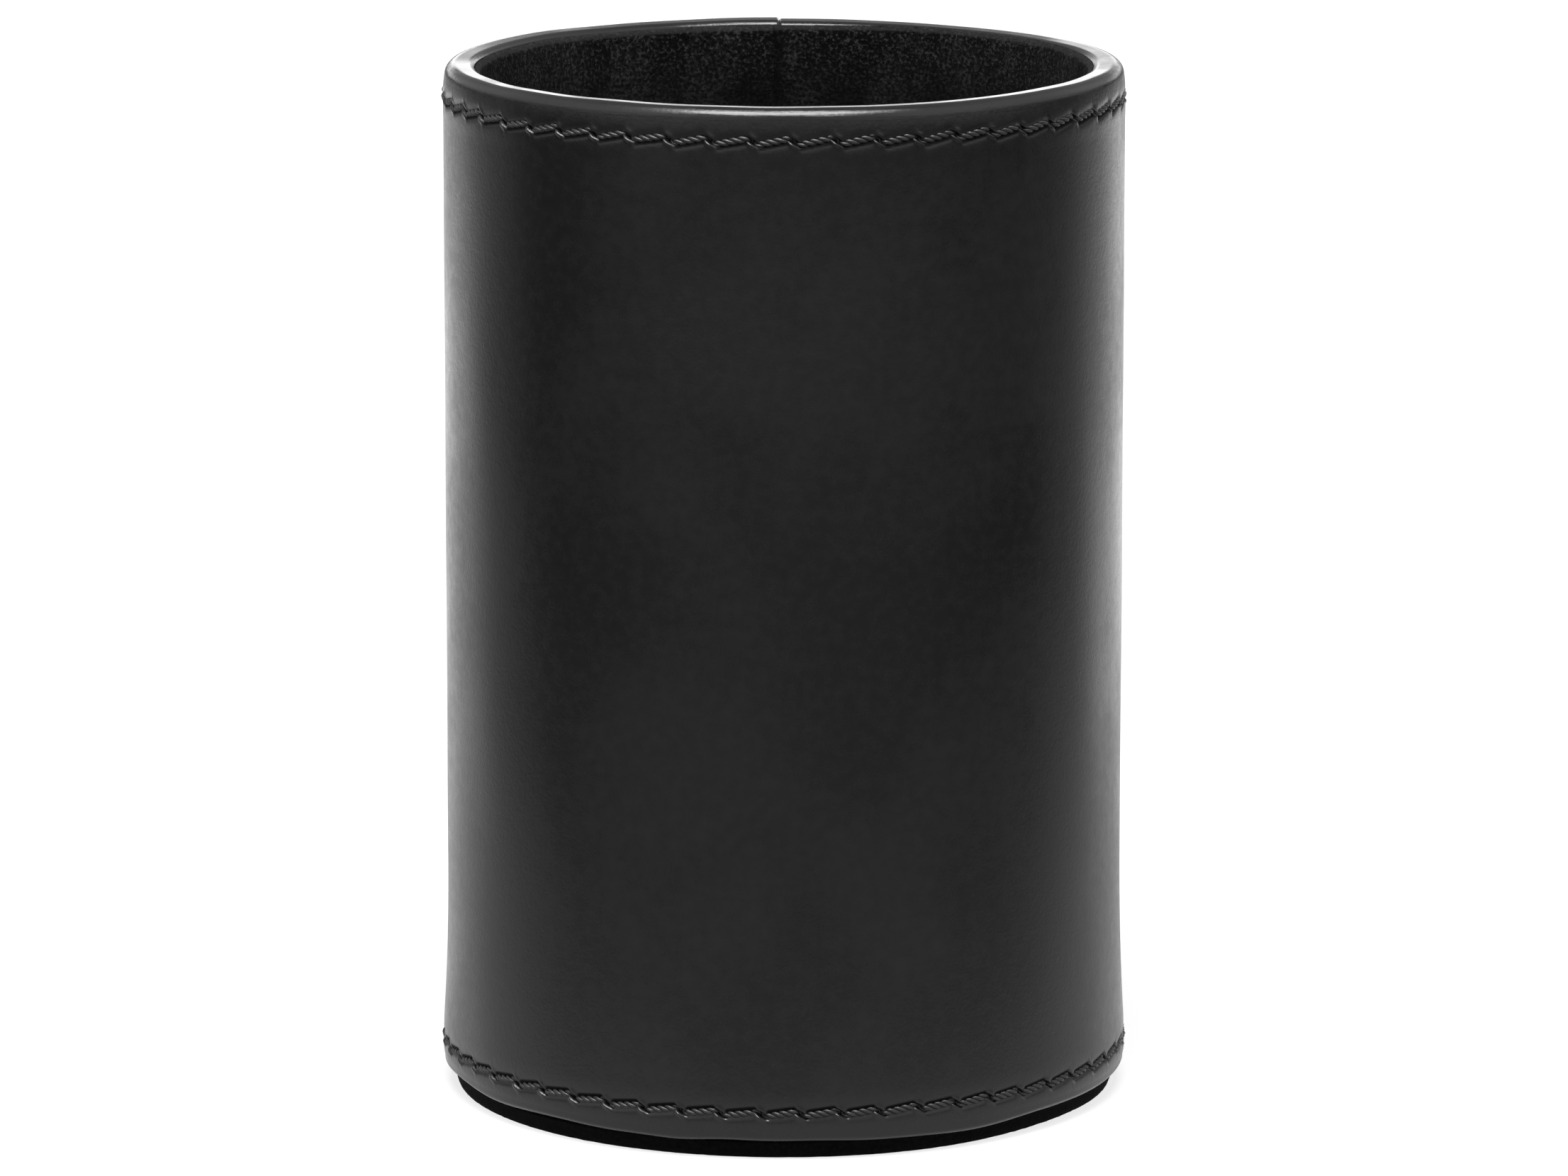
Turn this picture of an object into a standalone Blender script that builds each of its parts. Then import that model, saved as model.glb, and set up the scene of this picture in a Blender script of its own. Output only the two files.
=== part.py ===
"""Leather dice cup: a rigid tube wrapped in leather, lined with suede and stitched at rim and base.

Metres, +Z up. The cup stands on z = 0 with its axis on the Z axis, and its seam is at the back (+Y).
"""

import math

import bmesh
import bpy
import numpy as np

MM = 0.001

# Driving dimensions
BODY_RADIUS = 32.0 * MM
CUP_HEIGHT = 97.9 * MM
GLUE_GAP = 0.3 * MM  # clear distance kept between neighbouring layers
TURN_STEPS = 48  # straight facets around every turned piece, the same for all, so layers stay parallel

# Leather wrap
LEATHER_BODY = 0.9 * MM
LEATHER_RIM = 0.8 * MM
LEATHER_TURNED = 0.6 * MM  # pared thinner where it is turned in at the top and under at the bottom
RIM_RADIUS = 32.05 * MM
RIM_OUTER_ROLL = 1.0 * MM
RIM_INNER_ROLL = 1.4 * MM
RIM_INNER_ROLL_ANGLE = 60  # degrees that the inner roll turns before the leather runs straight down
TURNED_IN_FACE = 29.0 * MM
TURNED_IN_DEPTH = 10.0 * MM
WAIST_TOP = 86.0 * MM  # the wall is straight between these two heights and flares beyond them
WAIST_BOTTOM = 22.0 * MM
FLARE_START = 12.4 * MM
FLARE_START_RADIUS = 32.17 * MM
FLARE_MIDDLE = 7.2 * MM
FLARE_MIDDLE_RADIUS = 32.36 * MM
HEM_RADIUS = 32.6 * MM
HEM_ROLL = 0.75 * MM
HEM_LOW = 1.8 * MM  # underside of the turned-under leather
HEM_LOW_RADIUS = 31.95 * MM
TURNED_UNDER_END = 25.5 * MM
LEATHER_SEAM_X = -0.5 * MM
SEAM_WIDTH = 0.3 * MM

# Stitching
THREAD_DIAMETER = 0.6 * MM
THREAD_GAP = 0.15 * MM
GROOVE_DEPTH = 0.45 * MM
GROOVE_FLOOR_HALF = 0.75 * MM
GROOVE_MOUTH_HALF = 1.25 * MM
STITCH_RISE = 0.3 * MM  # each stitch climbs from this far below the row's line to this far above it
STITCH_SINK = 0.1 * MM  # how much lower the ends of a stitch lie than its middle
STITCH_END = 0.12  # share of the pitch between a hole and the point where the stitch surfaces
TOP_ROW_HEIGHT = 95.05 * MM
TOP_ROW_STITCHES = 52
BOTTOM_ROW_HEIGHT = 4.5 * MM
BOTTOM_ROW_STITCHES = 54

# Rigid tube and the pieces that close it below
CORE_OUTER = 30.8 * MM
CORE_WALL = 0.9 * MM
CORE_EDGE = 0.2 * MM
BOARD_THICKNESS = 2.0 * MM
PAD_RADIUS = 31.2 * MM
PAD_THICKNESS = 1.5 * MM
PAD_EDGE = 0.25 * MM
STRIP_LOW = 3.0 * MM
STRIP_HIGH = 7.2 * MM
STRIP_THIN = 0.2 * MM

# Suede lining
LINING_THICKNESS = 0.5 * MM
LINING_TOP = 97.0 * MM
LINING_EDGE = 0.15 * MM
LINING_STEP = 1.5 * MM  # height over which the lining eases off the end of the turned-in leather
LINING_SEAM_X = -1.0 * MM
FLOOR_THICKNESS = 0.6 * MM

CORE_INNER = CORE_OUTER - CORE_WALL
CORE_LOW = HEM_LOW + LEATHER_TURNED + GLUE_GAP
CORE_HIGH = CUP_HEIGHT - LEATHER_RIM - GLUE_GAP
BOARD_RADIUS = CORE_INNER - GLUE_GAP
FLOOR_LOW = CORE_LOW + BOARD_THICKNESS + GLUE_GAP
LINING_FACE_HIGH = TURNED_IN_FACE - GLUE_GAP - LINING_THICKNESS
LINING_FACE_LOW = CORE_INNER - GLUE_GAP - LINING_THICKNESS
TURNED_IN_END = CUP_HEIGHT - TURNED_IN_DEPTH


def clear_scene():
    """Removes the objects that the scene starts with."""
    for obj in list(bpy.data.objects):
        bpy.data.objects.remove(obj, do_unlink=True)


def new_collection(name):
    """A collection linked to the scene."""
    collection = bpy.data.collections.new(name)
    bpy.context.scene.collection.children.link(collection)
    return collection


def new_material(name, colour, roughness, metallic=0.0):
    """A Principled material in one colour."""
    material = bpy.data.materials.new(name)
    material.use_nodes = True
    shader = material.node_tree.nodes["Principled BSDF"]
    shader.inputs["Base Color"].default_value = (*colour, 1.0)
    shader.inputs["Roughness"].default_value = roughness
    shader.inputs["Metallic"].default_value = metallic
    return material


def arc(centre, radius, start, end, steps):
    """Points (r, z) along an arc, with its angles in degrees from +r towards +z."""
    angles = np.radians(np.linspace(start, end, steps + 1))
    return [(centre[0] + radius * math.cos(a), centre[1] + radius * math.sin(a)) for a in angles]


def path_normals(path):
    """Unit normals at the points of an open path, on the side that faces out where it runs down."""
    points = np.array(path)
    runs = np.diff(points, axis=0)
    runs /= np.linalg.norm(runs, axis=1)[:, None]
    sides = np.column_stack([-runs[:, 1], runs[:, 0]])
    before = np.vstack([sides[:1], sides])
    after = np.vstack([sides, sides[-1:]])
    mean = before + after
    mean /= np.linalg.norm(mean, axis=1)[:, None]
    mitre = (mean * before).sum(axis=1)
    return mean / mitre[:, None]


def sheet_section(face, thicknesses):
    """Closed section of a sheet, from its finished face and the thickness behind each of its points."""
    inward = path_normals(face) * np.array(thicknesses)[:, None]
    back = np.array(face) - inward
    return [tuple(p) for p in face] + [tuple(p) for p in back[::-1]]


def turned(name, section, material, height=0.0, closed=True):
    """A solid of revolution about Z: a section at +X with a Screw modifier."""
    mesh = bpy.data.meshes.new(name)
    edges = [(i, i + 1) for i in range(len(section) - 1)]
    if closed:
        edges.append((len(section) - 1, 0))
    mesh.from_pydata([(r, 0.0, z) for r, z in section], edges, [])
    mesh.materials.append(material)
    obj = bpy.data.objects.new(name, mesh)
    obj.location.z = height
    screw = obj.modifiers.new("turn", "SCREW")
    screw.axis = "Z"
    screw.angle = math.tau
    screw.steps = TURN_STEPS
    screw.render_steps = TURN_STEPS
    screw.use_merge_vertices = True
    screw.merge_threshold = 0.01 * MM
    screw.use_smooth_shade = True
    return obj


def disc(name, radius, thickness, edge, material, height):
    """A flat round piece with eased edges, whose underside is at the given height."""
    section = [(0.0, thickness)]
    section += arc((radius - edge, thickness - edge), edge, 90, 0, 2)
    section += arc((radius - edge, edge), edge, 0, -90, 2)
    section.append((0.0, 0.0))
    return turned(name, section, material, height, closed=False)


def seam_cutter(name, x, depth_from):
    """A thin upright block at the back, which parts the two edges of a wrapped sheet."""
    mesh = bpy.data.meshes.new(name)
    block = bmesh.new()
    bmesh.ops.create_cube(block, size=1.0)
    depth_to = BODY_RADIUS + 5 * MM
    bmesh.ops.scale(block, vec=(SEAM_WIDTH, depth_to - depth_from, CUP_HEIGHT + 10 * MM), verts=block.verts)
    block.to_mesh(mesh)
    block.free()
    cutter = bpy.data.objects.new(name, mesh)
    cutter.location = (x, (depth_from + depth_to) / 2, CUP_HEIGHT / 2)
    cutter.hide_render = True
    cutter.display_type = "WIRE"
    return cutter


def part_seam(obj, cutter):
    """Cuts a sheet's butt seam."""
    cut = obj.modifiers.new("seam", "BOOLEAN")
    cut.operation = "DIFFERENCE"
    cut.object = cutter


def groove(height, radius):
    """The four points of the shallow channel that a row of stitches pulls into the leather, from the top down."""
    floor = radius - GROOVE_DEPTH
    return [
        (radius, height + GROOVE_MOUTH_HALF),
        (floor, height + GROOVE_FLOOR_HALF),
        (floor, height - GROOVE_FLOOR_HALF),
        (radius, height - GROOVE_MOUTH_HALF),
    ]


def leather_section():
    """Section of the wrap: in the mouth, over the rim, down the wall and under the base."""
    inner_centre = (
        TURNED_IN_FACE + RIM_INNER_ROLL * math.sin(math.radians(RIM_INNER_ROLL_ANGLE)),
        CUP_HEIGHT - RIM_INNER_ROLL,
    )
    outer_centre = (RIM_RADIUS - RIM_OUTER_ROLL, CUP_HEIGHT - RIM_OUTER_ROLL)
    hem_centre = (HEM_LOW_RADIUS - HEM_ROLL * 0.2, HEM_LOW + HEM_ROLL)
    in_mouth = [(TURNED_IN_FACE, TURNED_IN_END)]
    in_mouth += arc(inner_centre, RIM_INNER_ROLL, 90 + RIM_INNER_ROLL_ANGLE, 90, 4)
    over_rim = arc(outer_centre, RIM_OUTER_ROLL, 90, 0, 4)
    top_groove = groove(TOP_ROW_HEIGHT, RIM_RADIUS)
    wall = [
        (BODY_RADIUS, WAIST_TOP),
        (BODY_RADIUS, WAIST_BOTTOM),
        (FLARE_START_RADIUS, FLARE_START),
        (FLARE_MIDDLE_RADIUS, FLARE_MIDDLE),
    ]
    bottom_groove = groove(BOTTOM_ROW_HEIGHT, HEM_RADIUS)
    hem = arc(hem_centre, HEM_ROLL, -15, -90, 3)
    under = [(TURNED_UNDER_END, HEM_LOW)]

    turned_in = [LEATHER_TURNED, *np.linspace(LEATHER_TURNED, LEATHER_RIM, len(in_mouth) - 1)]
    at_rim = [LEATHER_RIM] * len(over_rim)
    at_top_groove = [LEATHER_BODY, LEATHER_BODY - GROOVE_DEPTH, LEATHER_BODY - GROOVE_DEPTH, LEATHER_BODY]
    at_wall = [LEATHER_BODY] * len(wall)
    at_bottom_groove = [0.8 * MM, 0.75 * MM - GROOVE_DEPTH, 0.7 * MM - GROOVE_DEPTH, 0.7 * MM]
    at_hem = [LEATHER_TURNED] * (len(hem) + 1)
    face = in_mouth + over_rim + top_groove + wall + bottom_groove + hem + under
    behind = turned_in + at_rim + at_top_groove + at_wall + at_bottom_groove + at_hem
    return sheet_section(face, behind)


def core_section():
    """Section of the rigid tube, with eased ends."""
    low, high, edge = CORE_LOW, CORE_HIGH, CORE_EDGE
    return [
        (CORE_INNER + edge, high),
        (CORE_OUTER - edge, high),
        (CORE_OUTER, high - edge),
        (CORE_OUTER, low),
        (CORE_INNER, low),
        (CORE_INNER, high - edge),
    ]


def strip_section():
    """Section of the pared strip that fills out the hem behind the lower row of stitches."""
    inner = CORE_OUTER + GLUE_GAP
    outer = HEM_RADIUS - 0.75 * MM - GLUE_GAP
    return [
        (inner + STRIP_THIN, STRIP_HIGH),
        (outer, BOTTOM_ROW_HEIGHT + GROOVE_FLOOR_HALF),
        (outer, STRIP_LOW + STRIP_THIN),
        (outer - STRIP_THIN, STRIP_LOW),
        (inner, STRIP_LOW),
        (inner, STRIP_HIGH),
    ]


def lining_section():
    """Section of the suede sleeve, which lies over the turned-in leather and below it on the tube."""
    step_low = TURNED_IN_END - GLUE_GAP - LINING_STEP
    step_high = TURNED_IN_END - GLUE_GAP
    face = [
        (LINING_FACE_LOW, FLOOR_LOW),
        (LINING_FACE_LOW, step_low),
        (LINING_FACE_HIGH, step_high),
        (LINING_FACE_HIGH, LINING_TOP - LINING_EDGE),
        (LINING_FACE_HIGH + LINING_EDGE, LINING_TOP),
    ]
    back = [
        (LINING_FACE_HIGH + LINING_THICKNESS, LINING_TOP),
        (LINING_FACE_HIGH + LINING_THICKNESS, step_high),
        (LINING_FACE_LOW + LINING_THICKNESS, step_low),
        (LINING_FACE_LOW + LINING_THICKNESS, FLOOR_LOW),
    ]
    return face + back


def stitch_ring(name, stitches, radius, height, material, centre):
    """One row of slanted stitches as a closed thread that dips at every hole."""
    shares = (STITCH_END, 0.5, 1.0 - STITCH_END)
    rises = (-STITCH_RISE, 0.0, STITCH_RISE)
    sinks = (STITCH_SINK, 0.0, STITCH_SINK)
    curve = bpy.data.curves.new(name, "CURVE")
    curve.dimensions = "3D"
    curve.bevel_depth = THREAD_DIAMETER / 2
    curve.bevel_resolution = 2
    curve.use_fill_caps = True
    spline = curve.splines.new("POLY")
    spline.points.add(stitches * len(shares) - 1)
    spline.use_cyclic_u = True
    for stitch in range(stitches):
        for place, (share, rise, sink) in enumerate(zip(shares, rises, sinks)):
            angle = math.tau * (stitch + share) / stitches
            r = radius - sink
            point = spline.points[stitch * len(shares) + place]
            point.co = (r * math.cos(angle), r * math.sin(angle), rise, 1.0)
    curve.materials.append(material)
    obj = bpy.data.objects.new(name, curve)
    obj.location.z = height
    centre.objects.link(obj)
    return obj


def build():
    """Makes every piece of the cup."""
    clear_scene()
    cup = new_collection("leather_dice_cup")
    cutters = new_collection("cutters")

    leather = new_material("smooth_black_leather", (0.012, 0.012, 0.013), 0.42)
    suede = new_material("black_suede", (0.008, 0.008, 0.008), 0.95)
    board = new_material("grey_fibreboard", (0.22, 0.20, 0.17), 0.9)
    pared = new_material("pared_leather_strip", (0.05, 0.035, 0.025), 0.8)
    felt = new_material("black_base_felt", (0.006, 0.006, 0.006), 1.0)
    thread = new_material("black_waxed_thread", (0.02, 0.02, 0.02), 0.55)

    wrap = turned("outer_leather", leather_section(), leather)
    core = turned("core_tube", core_section(), board)
    strip = turned("bottom_backing_strip", strip_section(), pared)
    sleeve = turned("lining_wall", lining_section(), suede)
    floor = disc(
        "lining_floor", LINING_FACE_LOW - GLUE_GAP, FLOOR_THICKNESS, LINING_EDGE, suede, FLOOR_LOW
    )
    base_board = disc("base_board", BOARD_RADIUS, BOARD_THICKNESS, CORE_EDGE, board, CORE_LOW)
    filler = disc(
        "base_filler", TURNED_UNDER_END - GLUE_GAP, LEATHER_TURNED, 0.1 * MM, board, HEM_LOW
    )
    pad = disc("base_pad", PAD_RADIUS, PAD_THICKNESS, PAD_EDGE, felt, 0.0)

    leather_cutter = seam_cutter("leather_seam_cutter", LEATHER_SEAM_X, TURNED_UNDER_END - 2 * MM)
    lining_cutter = seam_cutter("lining_seam_cutter", LINING_SEAM_X, LINING_FACE_HIGH - 2 * MM)
    cutters.objects.link(leather_cutter)
    cutters.objects.link(lining_cutter)
    part_seam(wrap, leather_cutter)
    part_seam(sleeve, lining_cutter)

    lift = THREAD_GAP + THREAD_DIAMETER / 2 + STITCH_SINK - GROOVE_DEPTH
    top_row = stitch_ring(
        "top_stitching", TOP_ROW_STITCHES, RIM_RADIUS + lift, TOP_ROW_HEIGHT, thread, cup
    )
    bottom_row = stitch_ring(
        "bottom_stitching", BOTTOM_ROW_STITCHES, HEM_RADIUS + lift, BOTTOM_ROW_HEIGHT, thread, cup
    )

    axis = bpy.data.objects.new("cup_axis", None)
    cup.objects.link(axis)
    for piece in (wrap, core, strip, sleeve, floor, base_board, filler, pad):
        cup.objects.link(piece)
        piece.parent = axis
    top_row.parent = axis
    bottom_row.parent = axis


build()
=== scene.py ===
import math

import bpy
import numpy as np
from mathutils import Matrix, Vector, noise


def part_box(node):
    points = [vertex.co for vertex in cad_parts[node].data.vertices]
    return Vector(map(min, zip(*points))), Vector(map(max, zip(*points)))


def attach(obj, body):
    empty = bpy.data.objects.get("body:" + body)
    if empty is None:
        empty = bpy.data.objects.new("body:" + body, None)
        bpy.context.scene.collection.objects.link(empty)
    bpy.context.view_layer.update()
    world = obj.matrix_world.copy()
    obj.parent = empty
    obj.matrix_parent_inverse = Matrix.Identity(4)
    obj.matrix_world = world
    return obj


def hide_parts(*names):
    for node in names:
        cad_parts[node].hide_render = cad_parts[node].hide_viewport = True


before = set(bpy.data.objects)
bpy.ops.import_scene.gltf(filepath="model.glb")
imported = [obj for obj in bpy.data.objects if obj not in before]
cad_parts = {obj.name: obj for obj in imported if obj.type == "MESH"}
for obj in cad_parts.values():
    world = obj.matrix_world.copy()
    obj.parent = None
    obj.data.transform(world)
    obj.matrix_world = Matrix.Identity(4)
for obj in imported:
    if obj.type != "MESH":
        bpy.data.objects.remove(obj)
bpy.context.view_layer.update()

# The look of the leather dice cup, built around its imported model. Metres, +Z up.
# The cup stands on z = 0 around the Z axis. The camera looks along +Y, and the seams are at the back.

MM = 0.001
BODY = "root"
SEED = 20


def middle(node):
    """Height of the middle of a CAD node."""
    low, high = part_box(node)
    return (low.z + high.z) / 2


# Places that the frame gives
CUP_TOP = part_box("outer_leather")[1].z
HEM_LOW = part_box("outer_leather")[0].z
HEM_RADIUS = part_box("outer_leather")[1].x
TOP_ROW_HEIGHT = middle("top_stitching")
BOTTOM_ROW_HEIGHT = middle("bottom_stitching")
LINING_BACK_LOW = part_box("lining_wall")[1].x
LINING_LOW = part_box("lining_wall")[0].z
FLOOR_LOW, FLOOR_HIGH = (corner.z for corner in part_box("lining_floor"))
FLOOR_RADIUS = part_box("lining_floor")[1].x
PAD_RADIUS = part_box("base_pad")[1].x

# Leather wrap
BODY_RADIUS = HEM_RADIUS - 0.6 * MM
RIM_RADIUS = BODY_RADIUS + 0.09 * MM  # at the top row of stitches
RIM_LEAN = 10  # degrees that the rim's band leans in where it meets the outer roll
RIM_TAPER = 0.24 * MM  # how much narrower the wall gets above the top row
LEATHER_BODY = 0.9 * MM  # thickness on the wall
LEATHER_HEM = 0.95 * MM
LEATHER_TURNED = 0.6 * MM  # where it is skived and turned in or under
OUTER_ROLL = 1.08 * MM  # radius of the rim's outer edge
INNER_ROLL = 0.8 * MM
INNER_ROLL_ANGLE = 60  # degrees
TOP_SLOPE = 3  # degrees that the rim's top falls towards the inside
TURNED_IN_FACE = BODY_RADIUS - 3.0 * MM  # radius of the leather inside the mouth
TURNED_IN_END = CUP_TOP - 10 * MM
SHOULDER_CENTRE = (
    RIM_RADIUS - RIM_TAPER - OUTER_ROLL * math.cos(math.radians(RIM_LEAN)),
    CUP_TOP - OUTER_ROLL,
)
RIM_BAND_TOP = SHOULDER_CENTRE[1] + OUTER_ROLL * math.sin(math.radians(RIM_LEAN))
FLARE_TOP = 22.0 * MM  # heights between which the wall widens to the hem
FLARE_LOW = 4.4 * MM
HEM_ROLL = 0.75 * MM  # radius of the hem's lower corner
HEM_UNDERSIDE = HEM_LOW + 0.06 * MM
HEM_LEAN = 20  # degrees that the hem leans in where its roll starts
HEM_TAPER = 0.25 * MM  # how much narrower it gets just above its underside
HEM_TAPER_LOW = HEM_UNDERSIDE + 0.6 * MM
HEM_TAPER_TOP = HEM_UNDERSIDE + 2.0 * MM
# Where an edge hangs lower, or higher if negative: degrees from +X, width in degrees, millimetres
RIM_DIPS = [(-65, 12.5, 0.07), (50, 28, 0.16), (140, 9, -0.09)]
HEM_DIPS = [(-107, 6.5, 0.38), (-69, 18, 0.30), (-37, 8, -0.15)]
HEM_WAVE = 0.11 * MM  # unevenness of the lower edge
TURNED_UNDER_END = 25.5 * MM  # radius
SEAM_X = -0.5 * MM  # where the two ends of the leather meet, at the back
SEAM_GAP = 0.02 * MM
SEAM_EDGE = 0.3 * MM  # width of the rounding along each cut edge
SEAM_ROUNDING = 0.14 * MM
SEAM_STEP = 0.11 * MM  # how much higher the rim is on one side of its seam
SEAM_STEP_REACH = 12 * MM
UNEVENNESS = 0.018 * MM  # slow waves over the whole wall
BAND_HALF = 2.2 * MM  # height above and below a row of stitches that its relief reaches
BAND_RINGS = 27

# Stitching
THREAD_RADIUS = 0.37 * MM
THREAD_POINTS = 32  # along each stitch
CROWDING = 0.1925  # how much closer those points lie at a stitch's holes
PLIES = 3
PLY_SIDES = 8
LAY = 2.25 * MM  # length of thread in which a ply goes once around
STITCH_DEPTH = 0.45 * MM  # from the row's surface in to the thread's middle line, at the ends of a stitch
STITCH_BULGE = 0.12 * MM  # how much less deep it lies at the middle of a stitch
DIVE_DEPTH = 0.84 * MM  # the same depth in a hole
DIVE_LENGTH = 0.45 * MM  # length of a stitch's end that dips into its hole
DIVE_TURN = 0.22 * MM
HOLE_SHIFT = 0.016  # spread of the holes' places, as a share of the pitch
HOLE_LIFT = 0.035 * MM  # spread of their heights
STITCH_SWELL = 0.02 * MM  # spread of the stitches' depths
HOLE_ANGLE = math.radians(-33)
HOLE_LENGTH = 1.3 * MM
HOLE_WIDTH = 0.34 * MM
HOLE_DEPTH = 0.6 * MM
# Leather raised beside a hole: centre across the hole, width, centre along it, length, height
LIPS = [
    (-0.35 * MM, 0.16 * MM, 0.1 * MM, 0.5 * MM, 0.20 * MM),
    (0.36 * MM, 0.18 * MM, -0.2 * MM, 0.4 * MM, 0.06 * MM),
]
BED_DEPTH = 0.22 * MM  # hollow that each stitch presses into the leather
BED_OFFSET = 0.06 * MM
BED_HALF = 0.44 * MM
SHADOW_OFFSET = 0.42 * MM  # painted shade line where one side of the thread meets the leather
SHADOW_HALF = 0.2 * MM
CHANNEL_DEPTH = 0.08 * MM  # shallow channel that the whole row lies in
CHANNEL_HALF = 1.0 * MM
PUCKER_DEPTH = 0.035 * MM
# first: pitches from the front to the first hole. rise: half of what a stitch climbs on its way.
# gap_side: the side of the thread, 1 for above, that has the painted shade line.
TOP_ROW = {
    "name": "top", "height": TOP_ROW_HEIGHT, "radius": RIM_RADIUS, "stitches": 52,
    "first": 0.25, "rise": 0.36 * MM, "gap_side": -1,
}
BOTTOM_ROW = {
    "name": "bottom", "height": BOTTOM_ROW_HEIGHT, "radius": HEM_RADIUS, "stitches": 54,
    "first": 0.42, "rise": 0.23 * MM, "gap_side": 1,
}

# Suede and base
LINING_THICKNESS = 0.52 * MM
LINING_TOP = CUP_TOP - 0.48 * MM
LINING_BEVEL = 0.5 * MM
LINING_NAP = 0.08 * MM
LINING_STEP = 1.6 * MM  # height over which it widens below the turned-in leather
LINING_RISE = 0.42 * MM  # how much higher its top edge gets on the way around from the seam
LINING_SEAM_DROP = 0.75  # share of that rise that it loses again just before the seam
LINING_SEAM_X = -1.0 * MM
LINING_SEAM_GAP = 0.03 * MM
PAD_THICKNESS = HEM_LOW - 0.08 * MM
PAD_SPREAD = 0.3 * MM  # how much wider the felt is at its top than where it rests
PAD_TRIM = [(-38, 20, 0.6)]  # where the felt is cut back: degrees from +X, width in degrees, millimetres


# ---- numbers along curves ----

def smoothstep(low, high, value):
    """0 below low, 1 above high and a smooth rise between them."""
    t = np.clip((np.asarray(value, float) - low) / (high - low), 0, 1)
    return t * t * (3 - 2 * t)


def bell(value, width):
    """1 at zero, falling off on both sides over width."""
    return np.exp(-((np.asarray(value, float) / width) ** 2))


def arc(centre, radius, start, end, steps):
    """Points (r, z) along an arc, with its angles in degrees from +r towards +z."""
    angles = np.radians(np.linspace(start, end, steps + 1))
    return [(centre[0] + radius * math.cos(a), centre[1] + radius * math.sin(a)) for a in angles]


def path_normals(path):
    """Unit normals of an open (r, z) path, on the side that faces out where it runs down."""
    runs = np.gradient(np.array(path), axis=0)
    runs /= np.linalg.norm(runs, axis=1)[:, None]
    return np.column_stack([-runs[:, 1], runs[:, 0]])


def wander(angle, waves, rng):
    """A smooth random curve around the cup, between about -1 and 1, made of the given whole wave numbers."""
    total = np.zeros_like(np.asarray(angle, float))
    for wave in waves:
        total += rng.normal() * np.cos(wave * angle + rng.uniform(0, math.tau))
    return total / math.sqrt(len(waves))


def roughness_of(points, size, octaves=3):
    """Fractal noise at each point, between about -1 and 1, with features of the given size."""
    scaled = (np.asarray(points) / size).tolist()
    return np.array([noise.fractal(Vector(p), 1.0, 2.0, octaves) for p in scaled])


def on_ring(radius, angles, height):
    """Points (x, y, z) at angles around the cup's axis."""
    level = np.zeros(len(angles)) + height
    return np.column_stack([radius * np.cos(angles), radius * np.sin(angles), level])


# ---- meshes from rings ----

def bridge(first, second, at_first, at_second):
    """Triangles between two open rows of points with different counts. Both at_ lists run from 0 to 1."""
    faces = []
    i, j = 0, 0
    while i < len(first) - 1 or j < len(second) - 1:
        second_done = j == len(second) - 1
        if second_done or (i < len(first) - 1 and at_first[i + 1] <= at_second[j + 1]):
            faces.append((first[i], second[j], first[i + 1]))
            i += 1
        else:
            faces.append((first[i], second[j], second[j + 1]))
            j += 1
    return faces


def rows_to_faces(rows, shares):
    """Faces between neighbouring rows of point numbers: quads where the counts match, else triangles."""
    faces = []
    for (first, second), (at_first, at_second) in zip(zip(rows, rows[1:]), zip(shares, shares[1:])):
        if len(first) == len(second):
            quads = np.column_stack([first[:-1], second[:-1], second[1:], first[1:]])
            faces += quads.tolist()
        else:
            faces += bridge(first.tolist(), second.tolist(), at_first, at_second)
    return faces


def closed_sheet(face_rows, face_shares, back_rows, back_shares):
    """Faces all over a thick sheet: its face, its back, its two long edges and the two ends at its seam."""
    faces = rows_to_faces(face_rows, face_shares)
    faces += [face[::-1] for face in rows_to_faces(back_rows, back_shares)]
    faces += rows_to_faces([back_rows[0], face_rows[0]], [back_shares[0], face_shares[0]])
    faces += rows_to_faces([face_rows[-1], back_rows[-1]], [face_shares[-1], back_shares[-1]])
    for end in (0, -1):
        front = np.array([row[end] for row in face_rows])
        rear = np.array([row[end] for row in back_rows])
        strip = np.column_stack([front[:-1], rear[:-1], rear[1:], front[1:]])
        faces += (strip if end == 0 else strip[:, ::-1]).tolist()
    return faces


def new_object(name, data):
    """An object in the scene's collection."""
    made = bpy.data.objects.new(name, data)
    bpy.context.scene.collection.objects.link(made)
    return made


def new_piece(name, points, faces, material, attributes):
    """A smooth shaded mesh object with float vector attributes on its points."""
    mesh = bpy.data.meshes.new(name)
    mesh.from_pydata(np.asarray(points).tolist(), [], faces)
    mesh.validate()
    for key, values in attributes.items():
        layer = mesh.attributes.new(key, "FLOAT_VECTOR", "POINT")
        layer.data.foreach_set("vector", np.asarray(values, np.float32).reshape(-1))
    mesh.shade_smooth()
    mesh.materials.append(material)
    return new_object(name, mesh)


def place(piece, slot, *nodes):
    """Rides a piece on the cup's body in place of CAD nodes. slot is not used."""
    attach(piece, BODY)
    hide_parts(*nodes)


def sheet_columns(count, seam_x, gap, radius, extra=()):
    """Angles around a sheet that is open at the back, from one edge of its seam to the other."""
    start = math.acos(seam_x / radius) + gap / 2 / radius
    span = math.tau - gap / radius
    near_edge = np.array([0.03, 0.08, 0.16, 0.27, 0.4]) * MM / radius
    inner = np.linspace(0, span, count)[1:-1]
    inner = np.concatenate([inner, (np.asarray(extra, float) - start) % math.tau])
    clear = near_edge[-1] + 0.1 * MM / radius
    inner = inner[(inner > clear) & (inner < span - clear)]
    return start + np.concatenate([[0.0], near_edge, np.sort(inner), span - near_edge[::-1], [span]])


def edge_distance(angles, radius):
    """Distance of each angle of a sheet from the nearer edge of its seam."""
    return np.minimum(angles - angles[0], angles[-1] - angles) * radius


# ---- stitching ----

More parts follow.
